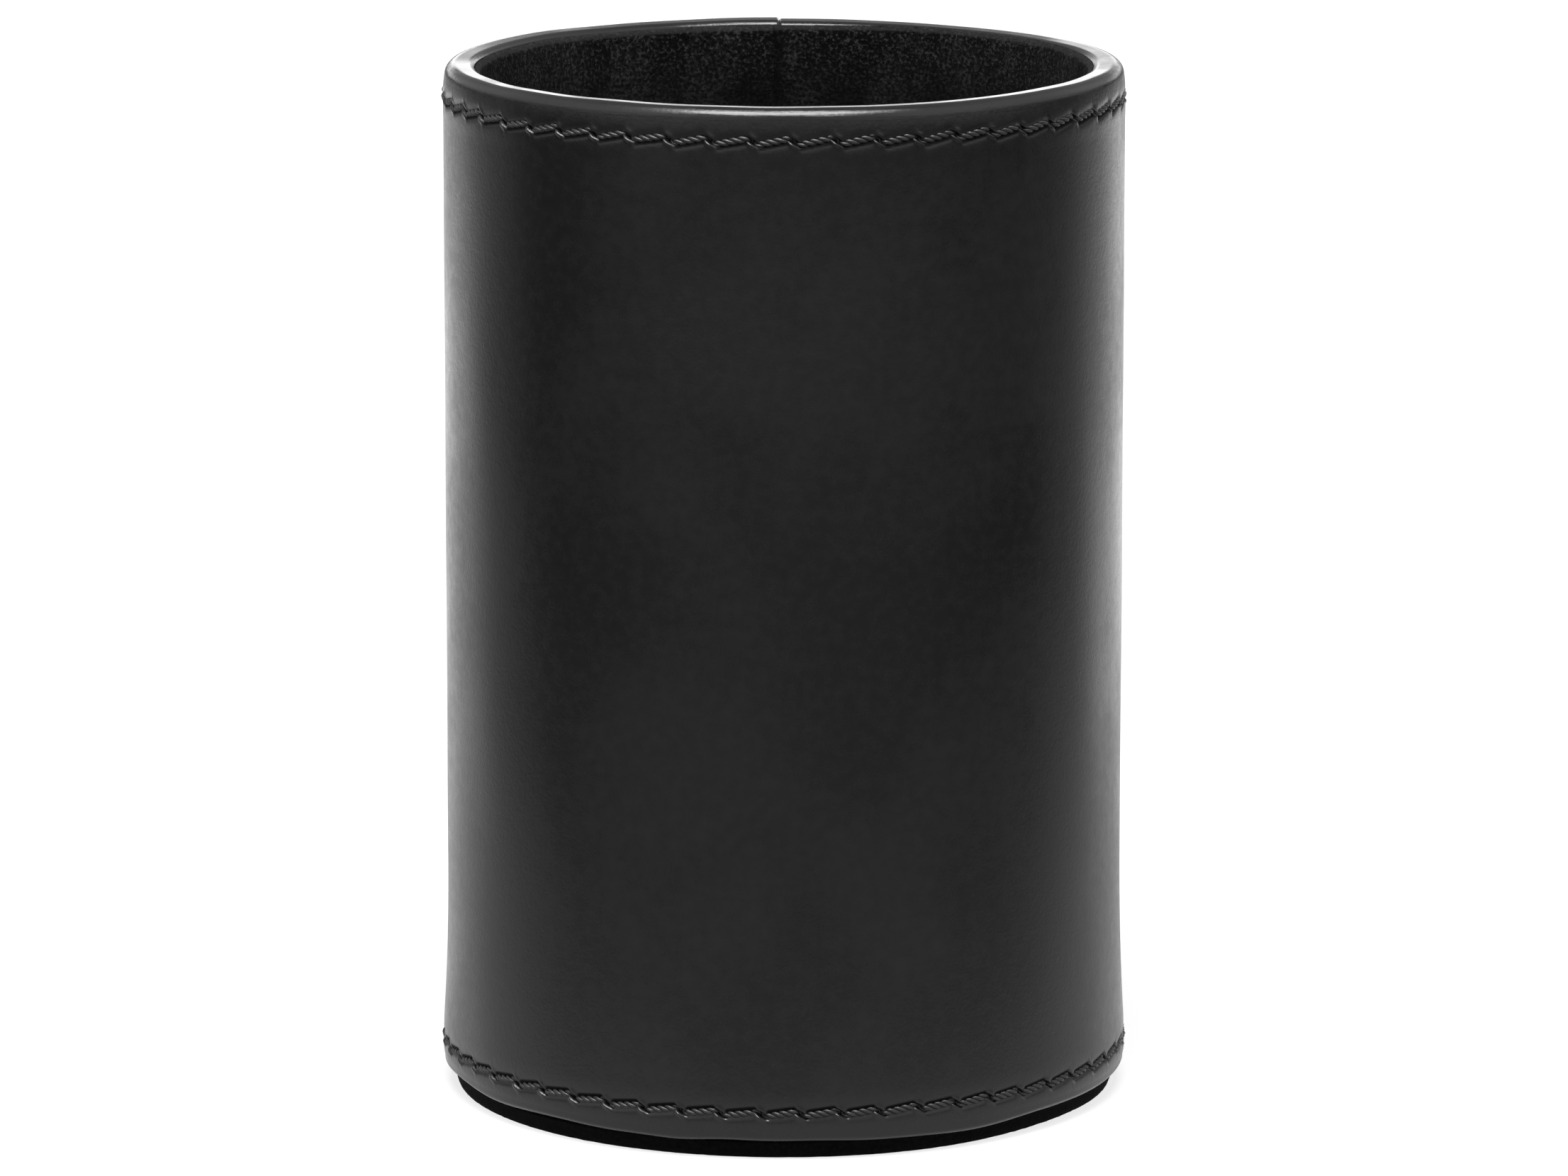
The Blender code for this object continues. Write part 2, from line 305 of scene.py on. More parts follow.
def settle(row, rng):
    """Gives a row its holes: their angles, each a little off its place, and how high each sits."""
    count = row["stitches"]
    pitch = math.tau / count
    steps = np.arange(count + 1) + row["first"]
    shift = rng.normal(0, HOLE_SHIFT, count)
    lift = rng.normal(0, HOLE_LIFT, count)
    row["holes"] = -math.pi / 2 + pitch * (steps + np.append(shift, shift[0]))
    row["lift"] = np.append(lift, lift[0])
    row["swell"] = rng.normal(0, STITCH_SWELL, count)


def along_row(row, angles):
    """For each angle: the stitch it is in, the share of that stitch passed, and its length."""
    first = row["holes"][0]
    turned = (np.asarray(angles) - first) % math.tau + first
    stitch = np.clip(np.searchsorted(row["holes"], turned, side="right") - 1, 0, row["stitches"] - 1)
    start = row["holes"][stitch]
    length = row["holes"][stitch + 1] - start
    return stitch, (turned - start) / length, length * row["radius"]


def stitch_rise(row, stitch, share, length):
    """Height of the thread's middle above the row's line."""
    to_hole = np.minimum(share, 1 - share) * length
    level = row["lift"][stitch] * (1 - share) + row["lift"][stitch + 1] * share
    return level + row["rise"] * (2 * share - 1) * (1 - bell(to_hole, DIVE_TURN))


def stitch_depth(row, stitch, share, length):
    """How far out of the row's surface the thread's middle line lies: least deep along the stitch."""
    to_hole = np.minimum(share, 1 - share) * length
    sunk = np.exp(-((to_hole / DIVE_LENGTH) ** 3))
    proud = -STITCH_DEPTH + STITCH_BULGE * np.sin(math.pi * share) + row["swell"][stitch]
    return proud * (1 - sunk) - DIVE_DEPTH * sunk


def unit(vectors):
    """Each vector at length 1."""
    return vectors / np.linalg.norm(vectors, axis=1)[:, None]


def thread_line(row):
    """The closed middle line of a row's thread, and at each point its directions along, out and up."""
    share = (np.arange(THREAD_POINTS) + 0.5) / THREAD_POINTS
    share = share - CROWDING * np.sin(math.tau * share) / math.tau
    share = np.tile(share, row["stitches"])
    stitch = np.repeat(np.arange(row["stitches"]), THREAD_POINTS)
    gap = row["holes"][stitch + 1] - row["holes"][stitch]
    angle = row["holes"][stitch] + share * gap
    length = gap * row["radius"]
    radius = row["radius"] + stitch_depth(row, stitch, share, length)
    height = row["height"] + stitch_rise(row, stitch, share, length)
    line = on_ring(radius, angle, height)
    ahead = unit(np.roll(line, -1, axis=0) - np.roll(line, 1, axis=0))
    out = on_ring(1.0, angle, 0.0)
    out = unit(out - (out * ahead).sum(axis=1)[:, None] * ahead)
    return line, out, np.cross(out, ahead)


def thread_rope(row, material):
    """A row of stitches as one closed thread of twisted plies that dips through every hole."""
    line, out, up = thread_line(row)
    steps = np.linalg.norm(np.diff(line, axis=0, append=line[:1]), axis=1)
    run = np.concatenate([[0.0], np.cumsum(steps)[:-1]])
    turns = round(steps.sum() / LAY)
    ply_radius = THREAD_RADIUS / (1 + 2 / math.sqrt(3))
    ply_offset = THREAD_RADIUS - ply_radius
    points, faces, fibre = [], [], []
    around = math.tau * np.arange(PLY_SIDES) / PLY_SIDES
    for ply in range(PLIES):
        twist = -math.tau * (turns * run / steps.sum() + ply / PLIES)
        away = np.cos(twist)[:, None] * out + np.sin(twist)[:, None] * up
        middle_line = line + ply_offset * away
        forward = unit(np.roll(middle_line, -1, axis=0) - np.roll(middle_line, 1, axis=0))
        across = unit(np.cross(forward, away))
        away = np.cross(across, forward)
        ring = (
            middle_line[:, None, :]
            + ply_radius * np.cos(around)[None, :, None] * away[:, None, :]
            + ply_radius * np.sin(around)[None, :, None] * across[:, None, :]
        )
        base = len(points) * len(line) * PLY_SIDES
        index = base + np.arange(len(line) * PLY_SIDES).reshape(len(line), PLY_SIDES)
        right = np.roll(index, -1, axis=1)
        quads = np.stack([index, right, np.roll(right, -1, axis=0), np.roll(index, -1, axis=0)], axis=2)
        faces += quads.reshape(-1, 4).tolist()
        points.append(ring.reshape(-1, 3))
        along = np.repeat(run / MM, PLY_SIDES)
        turn = np.tile(around, len(line))
        fibre.append(np.column_stack([along, np.cos(turn), np.sin(turn) + 3 * ply]))
    return new_piece(
        row["name"] + "_stitching_thread", np.concatenate(points), faces, material,
        {"fibre": np.concatenate(fibre)},
    )


def hole_columns(row):
    """Angles that put the columns of a row's relief close together around the holes."""
    near = np.linspace(-0.86, 0.86, 15) * MM / row["radius"]
    between = np.linspace(1.15, 2.75, 5) * MM / row["radius"]
    starts = row["holes"][:-1]
    return np.concatenate([(starts[:, None] + near).ravel(), (starts[:, None] + between).ravel()])


def row_relief(row, angles, above):
    """Relief that a row of stitches gives the leather at one height above its line, and the painted shade it
    gets in its holes, its stitch beds and along one side of each stitch.
    """
    stitch, share, length = along_row(row, angles)
    to_hole = np.where(share < 0.5, share, share - 1) * length
    hole = np.where(share < 0.5, stitch, stitch + 1)
    above_hole = above - row["lift"][hole]
    lengthways = to_hole * math.cos(HOLE_ANGLE) + above_hole * math.sin(HOLE_ANGLE)
    across = -to_hole * math.sin(HOLE_ANGLE) + above_hole * math.cos(HOLE_ANGLE)
    reach = np.sqrt((lengthways / (HOLE_LENGTH / 2)) ** 2 + (across / (HOLE_WIDTH / 2)) ** 2)
    pit = 1 - smoothstep(0.7, 1.5, reach)
    raised = sum(
        rise * bell(across - aside, width) * bell(lengthways - along, reach_along)
        for aside, width, along, reach_along, rise in LIPS
    )
    on_stitch = smoothstep(0.2 * MM, 0.8 * MM, np.abs(to_hole))
    from_thread = above - stitch_rise(row, stitch, share, length)
    bed = bell(from_thread - row["gap_side"] * BED_OFFSET, BED_HALF) * on_stitch
    shadow = bell(from_thread - row["gap_side"] * SHADOW_OFFSET, SHADOW_HALF) * on_stitch
    channel = bell(above, CHANNEL_HALF)
    pucker = bell(to_hole, 0.3 * MM) * np.exp(-np.abs(above_hole) / (0.8 * MM))
    fade = 1 - smoothstep(0.6 * BAND_HALF, BAND_HALF, abs(above))
    pressed = BED_DEPTH * bed + CHANNEL_DEPTH * channel + PUCKER_DEPTH * pucker
    relief = raised * (1 - pit) - HOLE_DEPTH * pit - pressed
    # sunk is painted shade: darker colour and weaker specular in the holes, the stitch beds and a line along
    # one side of each stitch
    sunk = np.clip(pit + 0.5 * bed + shadow, 0, 1)
    return relief * fade, sunk * fade


# ---- leather wrap ----

def wall_radius(height):
    """Radius of the leather's face between the rim and the hem."""
    flare = np.clip((FLARE_TOP - height) / (FLARE_TOP - FLARE_LOW), 0, 1)
    rim = smoothstep(TOP_ROW_HEIGHT - 2.5 * MM, TOP_ROW_HEIGHT + 0.3 * MM, height)
    taper = np.clip((height - TOP_ROW_HEIGHT) / (RIM_BAND_TOP - TOP_ROW_HEIGHT), 0, 1)
    tuck = np.clip((HEM_TAPER_TOP - height) / (HEM_TAPER_TOP - HEM_TAPER_LOW), 0, 1)
    swollen = (HEM_RADIUS - BODY_RADIUS) * flare**2 + (RIM_RADIUS - BODY_RADIUS) * rim
    return BODY_RADIUS + swollen - RIM_TAPER * taper**1.5 - HEM_TAPER * tuck**2


def band_heights(row, low, high):
    """Heights of the rings through a row's relief, from the top down, closest together at the holes."""
    share = np.linspace(-1, 1, BAND_RINGS)
    evenly = 0.45
    heights = row["height"] - BAND_HALF * (evenly * share + (1 - evenly) * share**3)
    return heights[(heights < high) & (heights > low)]


def wrap_rings():
    """The leather's rings in order: each with its (r, z), thickness behind it and set of columns."""
    inner_radius = TURNED_IN_FACE + INNER_ROLL * math.sin(math.radians(INNER_ROLL_ANGLE))
    slope = math.tan(math.radians(TOP_SLOPE))
    inner_top = CUP_TOP - (SHOULDER_CENTRE[0] - inner_radius) * slope
    inner_centre = (inner_radius, inner_top - INNER_ROLL)
    mouth = [(TURNED_IN_FACE, z) for z in np.linspace(TURNED_IN_END, CUP_TOP - 1.3 * MM, 5)]
    roll = arc(inner_centre, INNER_ROLL, 90 + INNER_ROLL_ANGLE, 90 + TOP_SLOPE, 12)
    flat = [
        (r, CUP_TOP - (SHOULDER_CENTRE[0] - r) * slope)
        for r in np.linspace(inner_centre[0], SHOULDER_CENTRE[0], 8)[1:-1]
    ]
    shoulder = arc(SHOULDER_CENTRE, OUTER_ROLL, 90, RIM_LEAN, 14)
    rim_end = RIM_BAND_TOP - 0.05 * MM
    top_band = [(wall_radius(z), z) for z in band_heights(TOP_ROW, 0, rim_end)]
    wall_top = top_band[-1][1]
    low_band = band_heights(BOTTOM_ROW, HEM_UNDERSIDE + HEM_ROLL * 0.8, FLARE_TOP)
    wall_low = low_band[0]
    wall = np.concatenate([
        wall_top - np.array([0.35, 0.8, 1.4, 2.2]) * MM,
        np.linspace(wall_top - 3.4 * MM, wall_low + 2.6 * MM, 36),
        wall_low + np.array([1.6, 0.9, 0.4]) * MM,
    ])
    wall = [(wall_radius(z), z) for z in wall]
    bottom_band = [(wall_radius(z), z) for z in low_band]
    hem_start = bottom_band[-1][0]
    hem_centre = (hem_start - HEM_ROLL * math.cos(math.radians(HEM_LEAN)), HEM_UNDERSIDE + HEM_ROLL)
    hem = arc(hem_centre, HEM_ROLL, -HEM_LEAN, -90, 8)
    under = [(r, HEM_UNDERSIDE) for r in np.linspace(hem[-1][0], TURNED_UNDER_END, 6)[1:]]
    groups = [
        (mouth, LEATHER_TURNED, "middle"), (roll, LEATHER_TURNED, "middle"),
        (flat, LEATHER_TURNED, "middle"), (shoulder, LEATHER_BODY, "middle"),
        (top_band, LEATHER_BODY, "top"), (wall[:3], LEATHER_BODY, "middle"),
        (wall[3:-3], LEATHER_BODY, "coarse"), (wall[-3:], LEATHER_BODY, "middle"),
        (bottom_band, LEATHER_HEM, "bottom"), (hem, LEATHER_TURNED, "middle"),
        (under, LEATHER_TURNED, "coarse"),
    ]
    path, behind, columns = [], [], []
    for points, thickness, kind in groups:
        path += points
        behind += [thickness] * len(points)
        columns += [kind] * len(points)
    smoothed = np.convolve(np.pad(behind, 3, mode="edge"), np.ones(7) / 7, mode="valid")
    return np.array(path), smoothed, columns


def dips(angles, places):
    """How much lower an edge hangs at each angle, from a list such as RIM_DIPS."""
    total = np.zeros_like(angles)
    for degrees, width, depth in places:
        away = (angles - math.radians(degrees) + math.pi) % math.tau - math.pi
        total += depth * MM * bell(away, math.radians(width))
    return total


def near_rim(height):
    """How fully a height takes part in the rim's tilt."""
    return smoothstep(CUP_TOP - 2.2 * MM, CUP_TOP - 0.6 * MM, height)


def rim_tilt(angles, height):
    """How far the rim stands above its mean: it is a little higher at the front than at the back."""
    tilt = 0.03 * np.cos(angles) - 0.13 * np.sin(angles) + 0.05 * np.cos(angles) ** 2
    return (tilt * MM - dips(angles, RIM_DIPS)) * near_rim(height)


def rim_lift(angles, height):
    """The rim's tilt, with the step where the two ends of the leather meet."""
    seam = math.acos(SEAM_X / RIM_RADIUS)
    past_seam = ((angles - seam) % math.tau) * RIM_RADIUS
    step = SEAM_STEP * np.exp(-past_seam / SEAM_STEP_REACH)
    return rim_tilt(angles, height) + near_rim(height) * step


def leather_wrap(material):
    """The one sheet of leather that covers the wall, the rim and the hem."""
    rng = np.random.default_rng(SEED + 1)
    path, behind, kinds = wrap_rings()
    normals = path_normals(path)
    run = np.concatenate([[0.0], np.cumsum(np.linalg.norm(np.diff(path, axis=0), axis=1))])
    sets = {
        "coarse": sheet_columns(260, SEAM_X, SEAM_GAP, BODY_RADIUS),
        "middle": sheet_columns(400, SEAM_X, SEAM_GAP, BODY_RADIUS),
        "top": sheet_columns(2, SEAM_X, SEAM_GAP, BODY_RADIUS, hole_columns(TOP_ROW)),
        "bottom": sheet_columns(2, SEAM_X, SEAM_GAP, BODY_RADIUS, hole_columns(BOTTOM_ROW)),
    }
    back_columns = sheet_columns(64, SEAM_X, SEAM_GAP, BODY_RADIUS)
    waves = [(k, rng.uniform(-7.8, 7.8), rng.normal(), rng.uniform(0, math.tau)) for k in range(3, 27)]
    hem_seed = int(rng.integers(1000))
    points, rows, shares, wrap, painted_shade_and_burnish = [], [], [], [], []

    def add_row(ring, angles, radius, height, sunk):
        """Adds the points around one ring, with their attributes."""
        start = sum(len(p) for p in points)
        rows.append(np.arange(start, start + len(angles)))
        shares.append((angles - angles[0]) / (angles[-1] - angles[0]))
        points.append(on_ring(radius, angles, height))
        wrap.append(np.column_stack([
            angles * BODY_RADIUS / MM, np.full(len(angles), run[ring] / MM), np.zeros(len(angles)),
        ]))
        burnished = np.full(len(angles), smoothstep(0.88, 0.98, normals[ring][1]))
        painted_shade_and_burnish.append(np.column_stack([sunk, edge_distance(angles, BODY_RADIUS) / MM, burnished]))

    for ring, ((r, z), (nr, nz), kind) in enumerate(zip(path, normals, kinds)):
        angles = sets[kind]
        relief = sum(a * np.cos(k * angles + f * z / BODY_RADIUS + p) for k, f, a, p in waves)
        relief = relief / math.sqrt(len(waves)) * UNEVENNESS
        # sunk gathers the painted shade of the stitch rows
        sunk = np.zeros_like(angles)
        for row in (TOP_ROW, BOTTOM_ROW):
            if abs(z - row["height"]) < BAND_HALF and nr > 0.5:
                pressed, dark = row_relief(row, angles, z - row["height"])
                relief = relief + pressed
                sunk = sunk + dark
        edge = np.clip(1 - edge_distance(angles, BODY_RADIUS) / SEAM_EDGE, 0, 1)
        relief = relief - SEAM_ROUNDING * edge**2
        low = 1 - smoothstep(HEM_LOW + 0.3 * MM, HEM_LOW + 2.2 * MM, z)
        hem_wave = HEM_WAVE * wander(angles, range(3, 19), np.random.default_rng(hem_seed))
        hem_wave = (hem_wave - dips(angles, HEM_DIPS)) * low * (nr > 0.02)
        height = z + nz * relief + rim_lift(angles, z) + hem_wave
        add_row(ring, angles, r + nr * relief, height, sunk)
    count = len(path)
    for ring in range(count):
        r, z = path[ring] - normals[ring] * behind[ring]
        add_row(ring, back_columns, r, z, np.zeros(len(back_columns)))
    faces = closed_sheet(rows[:count], shares[:count], rows[count:], shares[count:])
    attributes = {"wrap": np.concatenate(wrap), "painted_shade_and_burnish": np.concatenate(painted_shade_and_burnish)}
    return new_piece("leather_wrap", np.concatenate(points), faces, material, attributes)


# ---- suede lining ----

def lining_rise(share, height):
    """How much higher the lining's top edge sits at each share of the way around from the seam."""
    top_part = smoothstep(LINING_TOP - 3 * MM, LINING_TOP, height)
    rise = smoothstep(0.68, 0.86, share) - LINING_SEAM_DROP * smoothstep(0.91, 0.985, share)
    return LINING_RISE * top_part * rise


def suede_sleeve(material):
    """The suede wall: a sheet with a raised nap, a skived top edge and an upright seam at the back."""
    back_high = TURNED_IN_FACE - 0.03 * MM
    face_high = back_high - LINING_THICKNESS
    face_low = LINING_BACK_LOW - LINING_THICKNESS
    step_high = TURNED_IN_END - 0.1 * MM
    step_low = step_high - LINING_STEP
    bevel_low = LINING_TOP - LINING_BEVEL
    finer_from = 70 * MM
    heights = np.concatenate([
        np.arange(LINING_LOW, finer_from, 1.1 * MM), np.arange(finer_from, step_low, 0.7 * MM),
        np.arange(step_low, bevel_low, 0.36 * MM), [bevel_low],
    ])
    radii = face_low + (face_high - face_low) * smoothstep(step_low, step_high, heights)
    face = np.array(list(zip(radii, heights)) + [
        (face_high + 0.05 * MM, bevel_low + 0.14 * MM),
        (face_high + 0.22 * MM, LINING_TOP - 0.18 * MM),
        (face_high + 0.40 * MM, LINING_TOP - 0.03 * MM),
    ])
    widening = smoothstep(step_low, step_high, face[:, 1])
    behind_r = LINING_BACK_LOW + (back_high - LINING_BACK_LOW) * widening
    angles = sheet_columns(400, LINING_SEAM_X, LINING_SEAM_GAP, FLOOR_RADIUS)
    back_angles = sheet_columns(96, LINING_SEAM_X, LINING_SEAM_GAP, FLOOR_RADIUS)
    share = (angles - angles[0]) / (angles[-1] - angles[0])
    back_share = (back_angles - back_angles[0]) / (back_angles[-1] - back_angles[0])
    from_edge = edge_distance(angles, FLOOR_RADIUS)
    edge = np.clip(1 - from_edge / SEAM_EDGE, 0, 1)
    one_side = angles - angles[0] > math.pi
    points, nap = [], []
    for r, z in face:
        spots = on_ring(r, angles, z)
        pile = LINING_NAP * (roughness_of(spots, 1.0 * MM, 3) + 0.5 * roughness_of(spots, 4.0 * MM, 2))
        seam = 0.10 * MM * edge**2 - 0.06 * MM * bell(from_edge - 0.5 * MM, 0.5 * MM) * one_side
        radius = r + pile + seam
        # cut marks the skived top edge: it frays the edge and gets a painted highlight in the suede's colour
        cut = smoothstep(bevel_low - 0.05 * MM, bevel_low + 0.1 * MM, z)
        frayed = cut * 0.09 * MM * roughness_of(spots, 0.8 * MM, 3)
        level = z + frayed + rim_tilt(angles, z) + lining_rise(share, z)
        points.append(on_ring(radius, angles, level))
        # painted shade: a soft darker band beside the seam, stronger on the side where the suede dips
        seam_shade = bell(from_edge - 0.2 * MM, 0.9 * MM) * np.where(one_side, 1.0, 0.35)
        nap.append(np.column_stack([np.full(len(angles), cut), seam_shade, pile / (0.05 * MM)]))
    for r, z in zip(behind_r, face[:, 1]):
        level = z + rim_tilt(back_angles, z) + lining_rise(back_share, z)
        points.append(on_ring(r, back_angles, level))
        nap.append(np.zeros((len(back_angles), 3)))
    starts = np.cumsum([0] + [len(p) for p in points])
    rows = [np.arange(a, b) for a, b in zip(starts, starts[1:])]
    count = len(face)
    faces = closed_sheet(rows[:count], [share] * count, rows[count:], [back_share] * count)
    return new_piece("suede_sleeve", np.concatenate(points), faces, material, {"nap": np.concatenate(nap)})


def turned_pile(name, path, columns, size, height, material, outline=None):
    """A closed round piece with a fibrous surface, from an (r, z) path from axis to axis and an outline."""
    path = np.array(path)
    normals = path_normals(path)
    angles = math.tau * np.arange(columns) / columns
    inner = path[1:-1]
    points = [np.array([[0.0, 0.0, path[0][1]]])]
    pile = [np.zeros(1)]
    for (r, z), (nr, nz) in zip(inner, normals[1:-1]):
        spots = on_ring(r, angles, z)
        rough = roughness_of(spots, size, 3)
        radius = (r + nr * rough * height) * (1.0 if outline is None else outline(angles))
        level = np.maximum(z + nz * rough * height, 0)
        points.append(on_ring(radius, angles, level))
        pile.append(rough)
    points.append(np.array([[0.0, 0.0, path[-1][1]]]))
    pile.append(np.zeros(1))
    last = 1 + len(inner) * columns
    index = 1 + np.arange(len(inner) * columns).reshape(len(inner), columns)
    right = np.roll(index, -1, axis=1)
    quads = np.stack([index[:-1], index[1:], right[1:], right[:-1]], axis=2).reshape(-1, 4).tolist()
    fans = [(0, a, b) for a, b in zip(index[0].tolist(), right[0].tolist())]
    fans += [(last, b, a) for a, b in zip(index[-1].tolist(), right[-1].tolist())]
    nap = np.zeros((last + 1, 3))
    nap[:, 2] = np.concatenate(pile)
    return new_piece(name, np.concatenate(points), quads + fans, material, {"nap": nap})


def suede_floor(material):
    """The round suede floor, faintly cushioned and turned up a little where it meets the wall."""
    cushion = 0.12 * MM
    across = np.linspace(0, FLOOR_RADIUS - 0.5 * MM, 56)
    top = [(r, FLOOR_HIGH + cushion * (1 - (r / FLOOR_RADIUS) ** 2)) for r in across]
    edge = arc((FLOOR_RADIUS - 0.2 * MM, FLOOR_HIGH - 0.2 * MM), 0.2 * MM, 80, 0, 4)
    low = [(r, FLOOR_LOW) for r in np.linspace(FLOOR_RADIUS - 0.1 * MM, 0, 8)]
    return turned_pile("suede_floor", top + edge + low, 220, 0.9 * MM, 0.05 * MM, material)


def felt_pad(material):
    """The black felt disc that the cup stands on."""
    widest = PAD_RADIUS + PAD_SPREAD
    top = [(r, PAD_THICKNESS) for r in np.linspace(0, widest - 0.4 * MM, 9)]
    side = arc((widest - 0.25 * MM, PAD_THICKNESS - 0.25 * MM), 0.25 * MM, 80, 0, 4)
    heights = np.linspace(PAD_THICKNESS - 0.45 * MM, 0.4 * MM, 5)
    side += [(PAD_RADIUS + PAD_SPREAD * z / PAD_THICKNESS, z) for z in heights]
    side += arc((PAD_RADIUS - 0.3 * MM, 0.3 * MM), 0.3 * MM, 0, -80, 4)
    low = [(r, 0.0) for r in np.linspace(PAD_RADIUS - 0.45 * MM, 0, 24)]

    def outline(angles):
        """Share of the full radius at each angle."""
        return 1 - dips(angles, PAD_TRIM) / PAD_RADIUS

    return turned_pile("felt_pad", top + side + low, 360, 0.6 * MM, 0.03 * MM, material, outline)


# ---- materials ----

class Look:
    """A procedural material under construction."""

    def __init__(self, name):
        self.material = bpy.data.materials.new(name)
        self.material.use_nodes = True
        self.tree = self.material.node_tree
        self.shader = self.tree.nodes["Principled BSDF"]

    def add(self, kind, settings=None, **inputs):
        """A node with settings and inputs. An input is a value or another node's output."""
        node = self.tree.nodes.new("ShaderNode" + kind)
        for key, value in (settings or {}).items():
            setattr(node, key, value)
        for key, value in inputs.items():
            self.feed(node, key.replace("_", " "), value)
        return node

    def feed(self, node, key, value):
        """Links or sets one input, by its name or its number."""
        key = int(key) if key.isdigit() else key
        socket = node.inputs[key]
        if isinstance(value, bpy.types.NodeSocket):
            self.tree.links.new(value, socket)
        else:
            socket.default_value = value

    def shade(self, **inputs):
        """Sets or links the shader's own inputs."""
        for key, value in inputs.items():
            self.feed(self.shader, key.replace("_", " "), value)

    def vector(self, source, scale):
        """Coordinates stretched by a scale along each axis."""
        return self.add("VectorMath", {"operation": "MULTIPLY"}, **{"0": source, "1": scale}).outputs[0]

    def math(self, operation, first, second):
        """One sum of two numbers."""
        return self.add("Math", {"operation": operation}, **{"0": first, "1": second}).outputs[0]

    def range(self, value, low, high, to_low, to_high):
        """A value mapped smoothly from one range to another."""
        node = self.add("MapRange", {"interpolation_type": "SMOOTHSTEP"}, Value=value)
        for key, number in (("From Min", low), ("From Max", high), ("To Min", to_low), ("To Max", to_high)):
            node.inputs[key].default_value = number
        return node.outputs["Result"]

    def noise(self, vector, scale, detail=3.0, rough=0.5):
        """Noise between 0 and 1."""
        node = self.add("TexNoise", None, Vector=vector, Scale=scale, Detail=detail, Roughness=rough)
        return node.outputs[0]

    def mix(self, share, first, second):
        """A colour between two colours."""
        node = self.add("Mix", {"data_type": "RGBA"})
        self.feed(node, "0", share)
        self.feed(node, "6", first)
        self.feed(node, "7", second)
        return node.outputs[2]

    def bump(self, height, distance, strength=1.0, under=None):
        """Fine relief, in metres, on top of other relief."""
        node = self.add("Bump", None, Height=height, Distance=distance, Strength=strength)
        if under is not None:
            self.feed(node, "Normal", under)
        return node.outputs[0]

    def attribute(self, name):
        """The three parts of an attribute of the mesh, and the vector itself."""
        node = self.add("Attribute", {"attribute_name": name})
        parts = self.add("SeparateXYZ", None, Vector=node.outputs["Vector"]).outputs
        return node.outputs["Vector"], parts

    def clear_by(self, share, surface):
        """Ends the material in a surface that is clear by a share."""
        mixed = self.add("MixShader", None, Fac=share)
        self.feed(mixed, "1", surface)
        self.feed(mixed, "2", self.add("BsdfTransparent").outputs[0])
        self.feed(self.tree.nodes["Material Output"], "Surface", mixed.outputs[0])

    def millimetres(self):
        """The object's coordinates in millimetres."""
        return self.vector(self.add("TexCoord").outputs["Object"], (1 / MM, 1 / MM, 1 / MM))


def grey(value, warmth=0.0):
    """A near neutral colour."""
    return (value * (1 + warmth), value, value * (1 - warmth), 1.0)


def leather_look():
    """Smooth black leather: faint pores, soft mottling, a streaked, burnished rim, dull holes, and painted
    shade in the holes, the stitch beds and along one side of each stitch.
    """
    look = Look("black_leather")
    wrap, _ = look.attribute("wrap")
    _, painted_shade_and_burnish = look.attribute("painted_shade_and_burnish")
    height = look.add("SeparateXYZ", None, Vector=look.millimetres()).outputs[2]
    at_rim = look.range(height, CUP_TOP / MM - 1.6, CUP_TOP / MM - 0.2, 0.0, 1.0)
    cloud = look.noise(look.vector(wrap, (0.06, 0.045, 1.0)), 1.0, 4.0, 0.55)
    mottle = look.noise(wrap, 0.8, 4.0, 0.6)
    fine = look.noise(wrap, 5.0, 3.0, 0.6)
    streak = look.noise(look.vector(wrap, (0.22, 5.5, 1.0)), 1.0, 4.0, 0.62)
    pores = look.add(
        "TexVoronoi", {"feature": "SMOOTH_F1"}, Vector=wrap, Scale=3.2, Smoothness=0.6, Randomness=1.0
    ).outputs["Distance"]
    tone = look.mix(look.range(cloud, 0.3, 0.7, 0.0, 1.0), grey(0.0050), grey(0.0064))
    tone = look.mix(look.range(mottle, 0.35, 0.75, 0.0, 0.4), tone, grey(0.0080))
    # painted shade: darker colour in the holes, the stitch beds and along one side of each stitch
    tone = look.mix(look.range(painted_shade_and_burnish[0], 0.1, 0.9, 0.0, 0.85), tone, grey(0.0016))
    dull = look.range(mottle, 0.3, 0.7, 0.26, 0.31)
    dull = look.math("ADD", dull, look.range(fine, 0.3, 0.7, -0.02, 0.025))
    dull = look.math("ADD", dull, look.range(cloud, 0.38, 0.62, -0.035, 0.035))
    dull = look.math("SUBTRACT", dull, look.math("MULTIPLY", at_rim, 0.08))
    dull = look.math("ADD", dull, look.math("MULTIPLY", painted_shade_and_burnish[0], 0.3))
    dull = look.math("SUBTRACT", dull, look.math("MULTIPLY", painted_shade_and_burnish[2], 0.09))
    grain = look.range(painted_shade_and_burnish[2], 0.0, 1.0, 1.0, 0.1)
    relief = look.bump(mottle, 0.012 * MM, grain)
    relief = look.bump(pores, 0.008 * MM, grain, relief)
    relief = look.bump(fine, 0.004 * MM, grain, relief)
    streaks = look.math("MULTIPLY", streak, look.math("ADD", look.math("MULTIPLY", at_rim, 0.9), 0.1))
    relief = look.bump(streaks, 0.026 * MM, grain, relief)
    look.shade(Base_Color=tone, Roughness=dull, Normal=relief, IOR=1.5)
    # painted shade: weaker specular in the same holes, beds and stitch sides
    look.shade(Specular_IOR_Level=look.range(painted_shade_and_burnish[0], 0.1, 0.9, 0.5, 0.06))
    return look.material


